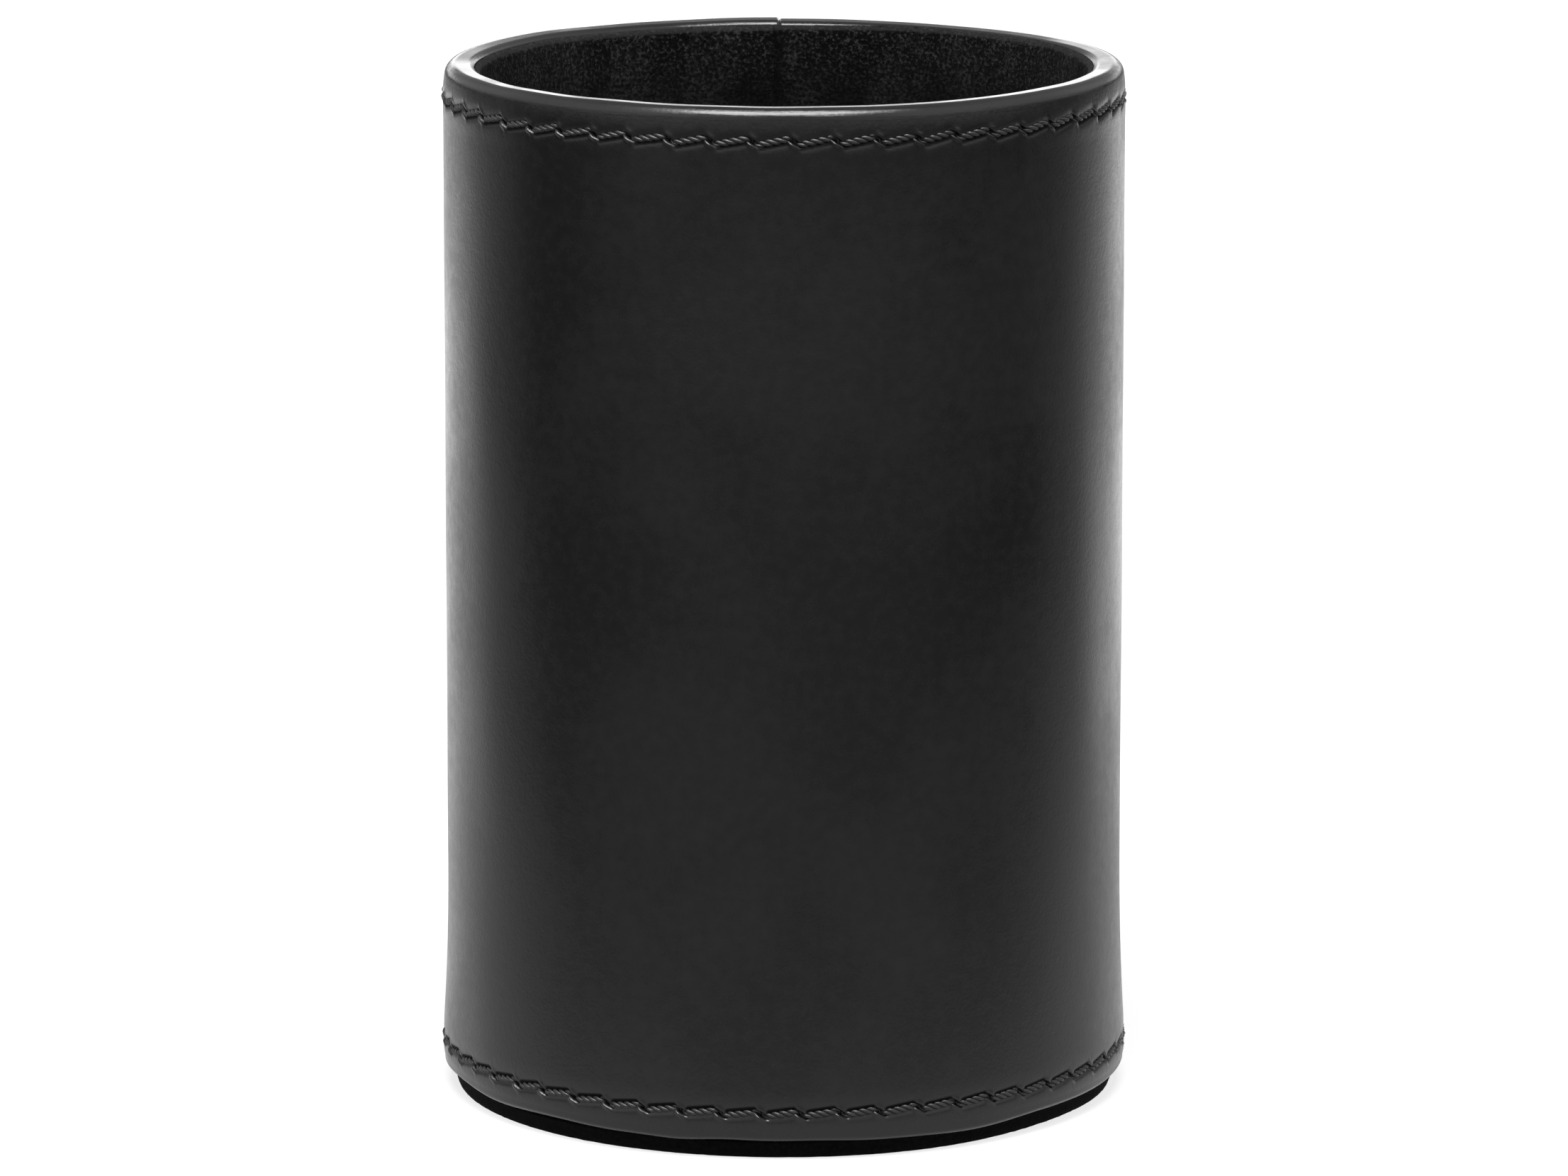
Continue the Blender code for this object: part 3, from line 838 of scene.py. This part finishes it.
def suede_look():
    """Black suede: patches of nap that lie this way and that, over a fine fibre, with painted shade beside
    the seam, a painted highlight on the cut top edge and painted light in lighter flecks near the top.
    """
    look = Look("black_suede")
    _, nap = look.attribute("nap")
    spot = look.millimetres()
    height = look.add("SeparateXYZ", None, Vector=spot).outputs[2]
    painted_light_near_top = look.range(height, LINING_TOP / MM - 8, LINING_TOP / MM - 0.5, 0.0, 0.7)
    patch = look.noise(spot, 3.0, 4.0, 0.6)
    brushed = look.noise(look.vector(spot, (1.0, 1.0, 0.4)), 0.16, 3.0, 0.5)
    fibre = look.noise(look.vector(spot, (1.0, 1.0, 0.5)), 4.5, 4.0, 0.75)
    tone = look.mix(look.range(patch, 0.36, 0.68, 0.0, 1.0), grey(0.0016), grey(0.013))
    tone = look.mix(look.range(fibre, 0.54, 0.72, 0.0, 0.5), tone, grey(0.030))
    tone = look.mix(look.range(brushed, 0.38, 0.6, 0.0, 0.75), tone, grey(0.0006))
    # painted light: lighter flecks near the top of the lining, where light comes in at the mouth
    flecks = look.math("MULTIPLY", look.range(patch, 0.50, 0.66, 0.0, 1.0), painted_light_near_top)
    tone = look.mix(flecks, tone, grey(0.034))
    # painted shade beside the seam
    tone = look.mix(look.range(nap[1], 0.15, 0.9, 0.0, 0.7), tone, grey(0.0006))
    # painted highlight along the cut top edge
    tone = look.mix(look.range(nap[0], 0.1, 0.9, 0.0, 0.6), tone, grey(0.016))
    relief = look.bump(patch, 0.2 * MM)
    relief = look.bump(fibre, 0.09 * MM, 1.0, relief)
    look.shade(Base_Color=tone, Roughness=0.92, Normal=relief, Sheen_Weight=0.03, Sheen_Roughness=0.5)
    look.shade(Specular_IOR_Level=0.05, Sheen_Tint=grey(0.35))
    return look.material


def felt_look():
    """Black felt with a tangled fibre."""
    look = Look("black_felt")
    spot = look.millimetres()
    tangle = look.noise(spot, 2.2, 5.0, 0.7)
    fibre = look.noise(look.vector(spot, (1.0, 1.0, 2.5)), 7.0, 3.0, 0.7)
    tone = look.mix(look.range(tangle, 0.35, 0.7, 0.0, 1.0), grey(0.0006), grey(0.0024))
    relief = look.bump(tangle, 0.14 * MM)
    relief = look.bump(fibre, 0.05 * MM, 1.0, relief)
    look.shade(Base_Color=tone, Roughness=0.97, Normal=relief, Sheen_Weight=0.03, Sheen_Roughness=0.6)
    look.shade(Specular_IOR_Level=0.05, Sheen_Tint=grey(0.2))
    return look.material


def thread_look():
    """Black waxed thread: fine fibres along each ply, with the wax worn thin in places."""
    look = Look("black_waxed_thread")
    fibre, _ = look.attribute("fibre")
    lines = look.noise(look.vector(fibre, (0.8, 3.2, 3.2)), 1.6, 4.0, 0.65)
    wax = look.noise(look.vector(fibre, (0.5, 0.6, 0.6)), 1.0, 3.0, 0.5)
    tone = look.mix(look.range(lines, 0.3, 0.75, 0.0, 1.0), grey(0.007), grey(0.019))
    dull = look.range(wax, 0.3, 0.7, 0.30, 0.44)
    relief = look.bump(lines, 0.018 * MM)
    look.shade(Base_Color=tone, Roughness=dull, Normal=relief, IOR=1.52)
    look.shade(Sheen_Weight=0.12, Sheen_Roughness=0.35, Sheen_Tint=grey(0.6))
    return look.material


def board_look(name, dark, light, grain, stretch):
    """Pressed board or the flesh side of leather: pale flecks in a fibrous ground."""
    look = Look(name)
    spot = look.vector(look.millimetres(), stretch)
    flecks = look.noise(spot, grain, 5.0, 0.7)
    fibre = look.noise(spot, grain * 4, 3.0, 0.6)
    tone = look.mix(look.range(flecks, 0.35, 0.65, 0.0, 1.0), dark, light)
    relief = look.bump(flecks, 0.05 * MM)
    relief = look.bump(fibre, 0.02 * MM, 1.0, relief)
    look.shade(Base_Color=tone, Roughness=look.range(fibre, 0.3, 0.7, 0.78, 0.95), Normal=relief)
    return look.material


# ---- studio ----

CAMERA_DISTANCE = 848 * MM
CAMERA_HEIGHT = 217.9 * MM
CAMERA_TILT = 11.36  # degrees that the camera looks down
CAMERA_LENS = 209.4
SENSOR_WIDTH = 36.0
CARD_HALF = 300 * MM
FLOOR_HALF = 3.0
DOME_RADIUS = 6.0


def set_camera():
    """A long lens in front of the cup, looking a little down into its mouth."""
    data = bpy.data.cameras.new("camera")
    data.lens = CAMERA_LENS
    data.sensor_width = SENSOR_WIDTH
    data.clip_start = 0.05
    data.clip_end = 20
    camera = new_object("camera", data)
    camera.location = (0, -CAMERA_DISTANCE, CAMERA_HEIGHT)
    camera.rotation_euler = (math.radians(90 - CAMERA_TILT), 0, 0)
    bpy.context.scene.camera = camera


def emission(name, strength):
    """A material that glows evenly."""
    material = bpy.data.materials.new(name)
    material.use_nodes = True
    tree = material.node_tree
    tree.nodes.clear()
    glow = tree.nodes.new("ShaderNodeEmission")
    glow.inputs["Strength"].default_value = strength
    out = tree.nodes.new("ShaderNodeOutputMaterial")
    tree.links.new(glow.outputs[0], out.inputs["Surface"])
    return material


def floor_look():
    """White table surface that glows, so the cup's shadow on it is faint. It is clear from below."""
    look = Look("white_table")
    look.shade(Base_Color=grey(0.25), Roughness=1.0, Specular_IOR_Level=0.0)
    reach = look.add("VectorMath", {"operation": "LENGTH"}, **{"0": look.add("TexCoord").outputs["Object"]})
    glow = look.range(reach.outputs["Value"], 80 * MM, 600 * MM, 0.75, 1.05)
    look.shade(Emission_Color=grey(1.0), Emission_Strength=glow)
    look.clear_by(look.add("NewGeometry").outputs["Backfacing"], look.shader.outputs[0])
    return look.material


def card_look():
    """White card that fades out with distance from the cup, brighter on the side away from the camera."""
    look = Look("white_card")
    spot = look.add("TexCoord").outputs["Object"]
    reach = look.add("VectorMath", {"operation": "LENGTH"}, **{"0": spot}).outputs["Value"]
    behind = look.add("SeparateXYZ", None, Vector=spot).outputs[1]
    strength = look.range(behind, -80 * MM, 80 * MM, 0.28, 0.85)
    strength = look.math("ADD", strength, look.range(reach, 45 * MM, 110 * MM, 0.3, 0.0))
    glow = look.add("Emission", None, Strength=strength).outputs[0]
    look.clear_by(look.range(reach, 60 * MM, CARD_HALF, 0.0, 1.0), glow)
    return look.material


def stage_piece(name, points, faces, material):
    """A mesh that belongs to the studio and not to the cup."""
    mesh = bpy.data.meshes.new(name)
    mesh.from_pydata(points, [], faces)
    mesh.materials.append(material)
    piece = new_object(name, mesh)
    return piece


def flat_square(name, half, height, material):
    """A square stage surface at one height."""
    corners = [(-half, -half, height), (half, -half, height), (half, half, height), (-half, half, height)]
    return stage_piece(name, corners, [(0, 1, 2, 3)], material)


def panel(name, target, distance, azimuth, elevation, width, height, radiance):
    """A softbox that faces a target. Its azimuth is 0 on the camera's side and turns towards +X."""
    data = bpy.data.lights.new(name, "AREA")
    data.shape = "RECTANGLE"
    data.size = width
    data.size_y = height
    data.energy = radiance * math.pi * width * height
    light = new_object(name, data)
    turn, rise = math.radians(azimuth), math.radians(elevation)
    away = Vector((math.sin(turn) * math.cos(rise), -math.cos(turn) * math.cos(rise), math.sin(rise)))
    light.location = Vector(target) + away * distance
    light.rotation_euler = away.to_track_quat("Z", "Y").to_euler()
    light.visible_camera = False


def set_surroundings():
    """What the leather reflects: white behind the cup and at its sides, dim on the camera's side."""
    world = bpy.data.worlds.new("studio")
    bpy.context.scene.world = world
    world.use_nodes = True
    tree = world.node_tree
    tree.nodes.clear()

    def add(kind, operation=None, *values):
        """The output of a node with values or other outputs as its inputs."""
        node = tree.nodes.new("ShaderNode" + kind)
        if operation:
            node.operation = operation
        for socket, value in zip(node.inputs, values):
            if isinstance(value, bpy.types.NodeSocket):
                tree.links.new(value, socket)
            else:
                socket.default_value = value
        return node.outputs[0]

    def ramp(value, low, high, to_low, to_high):
        """A value mapped from one range to another and held at its ends."""
        return add("MapRange", None, value, low, high, to_low, to_high)

    direction = tree.nodes.new("ShaderNodeTexCoord").outputs["Generated"]
    axes = tree.nodes.new("ShaderNodeSeparateXYZ")
    tree.links.new(direction, axes.inputs[0])
    behind, up = axes.outputs[1], axes.outputs[2]
    low_back = add("Math", "ADD", ramp(behind, 0.02, 0.45, 0.0, 0.46), ramp(behind, 0.45, 0.85, 0.0, 1.4))
    low_front = ramp(behind, -0.2, -1.0, 0.0, 0.15)
    low = add("Math", "ADD", low_back, low_front)
    table_edge = ramp(behind, -0.2, 0.3, 0.03, -0.125)
    over_edge = add("Math", "SUBTRACT", up, table_edge)
    below = add("Math", "ADD", ramp(over_edge, -0.03, 0.03, 0.78, 0.0), ramp(up, -0.04, 0.0, 0.22, 0.0))
    above = ramp(up, 0.03, 0.08, 0.0, 1.0)
    backdrop = add("Math", "MULTIPLY", ramp(behind, 0.8, 0.96, 0.0, 3.4), ramp(up, 0.08, 0.19, 1.0, 0.0))
    high_back = add("Math", "ADD", backdrop, ramp(behind, -0.3, 0.3, 0.66, 0.34))
    sides = ramp(add("Math", "ABSOLUTE", axes.outputs[0]), 0.3, 0.65, 0.0, 0.55)
    high_sides = add("Math", "MULTIPLY", sides, ramp(up, 0.08, 0.25, 0.0, 1.0))
    lower_part = add("Math", "MULTIPLY", low, below)
    upper_part = add("Math", "MULTIPLY", high_back, above)
    total = add("Math", "ADD", add("Math", "ADD", lower_part, upper_part), high_sides)
    total = add("Math", "ADD", total, 0.03)
    glow = tree.nodes.new("ShaderNodeBackground")
    tree.links.new(total, glow.inputs["Strength"])
    out = tree.nodes.new("ShaderNodeOutputWorld")
    tree.links.new(glow.outputs[0], out.inputs["Surface"])


def dome(radius):
    """A white dome around the stage, for the camera only."""
    rings, columns = 12, 48
    rise = np.linspace(-0.2, 1, rings) * math.pi / 2
    turn = math.tau * np.arange(columns) / columns
    points = [on_ring(radius * math.cos(a), turn, radius * math.sin(a)) for a in rise[:-1]]
    points = np.concatenate(points).tolist() + [(0, 0, radius)]
    index = np.arange((rings - 1) * columns).reshape(rings - 1, columns)
    right = np.roll(index, -1, axis=1)
    faces = np.stack([index[:-1], index[1:], right[1:], right[:-1]], axis=2).reshape(-1, 4).tolist()
    faces += [(int(index[-1][i]), len(points) - 1, int(right[-1][i])) for i in range(columns)]
    piece = stage_piece("backdrop", points, faces, emission("white_backdrop", 1.05))
    piece.visible_diffuse = False
    piece.visible_glossy = False
    piece.visible_shadow = False


def set_stage():
    """White floor and backdrop, a softbox overhead and the surroundings."""
    floor = flat_square("floor", FLOOR_HALF, -0.02 * MM, floor_look())
    floor.visible_glossy = False
    card = flat_square("table_reflection", CARD_HALF, -0.01 * MM, card_look())
    card.visible_camera = False
    card.visible_diffuse = False
    card.visible_shadow = False
    dome(DOME_RADIUS)
    set_surroundings()
    front_rim = (0, -RIM_RADIUS, CUP_TOP)
    panel(
        "overhead_softbox", front_rim, distance=0.36, azimuth=-6, elevation=69,
        width=0.30, height=0.25, radiance=15.0,
    )
    bpy.context.scene.view_settings.view_transform = "Standard"
    bpy.context.scene.view_settings.look = "None"


# ---- the cup ----

def finish_hidden_nodes():
    """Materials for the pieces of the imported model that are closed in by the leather."""
    even = (1.0, 1.0, 1.0)
    dark_brown, brown = (0.035, 0.022, 0.014, 1), (0.075, 0.048, 0.03, 1)
    board = board_look("grey_fibreboard", grey(0.13, 0.08), grey(0.26, 0.1), 0.9, even)
    rolled = board_look("rolled_fibreboard", grey(0.12, 0.08), grey(0.24, 0.1), 0.7, (1.0, 1.0, 0.25))
    flesh = board_look("leather_flesh_side", dark_brown, brown, 1.5, even)
    finishes = {
        "core_tube": rolled, "base_board": board, "base_filler": board, "bottom_backing_strip": flesh,
    }
    for name, material in finishes.items():
        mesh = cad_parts[name].data
        mesh.materials.clear()
        mesh.materials.append(material)


def build():
    """Makes every visible piece of the cup, its stage and its camera."""
    set_camera()
    rng = np.random.default_rng(SEED)
    settle(TOP_ROW, rng)
    settle(BOTTOM_ROW, rng)
    leather, suede, felt, thread = leather_look(), suede_look(), felt_look(), thread_look()
    place(leather_wrap(leather), "leather", "outer_leather")
    place(thread_rope(TOP_ROW, thread), "thread", "top_stitching")
    place(thread_rope(BOTTOM_ROW, thread), "thread", "bottom_stitching")
    place(suede_sleeve(suede), "suede", "lining_wall")
    place(suede_floor(suede), "suede", "lining_floor")
    place(felt_pad(felt), "felt", "base_pad")
    finish_hidden_nodes()
    set_stage()


build()
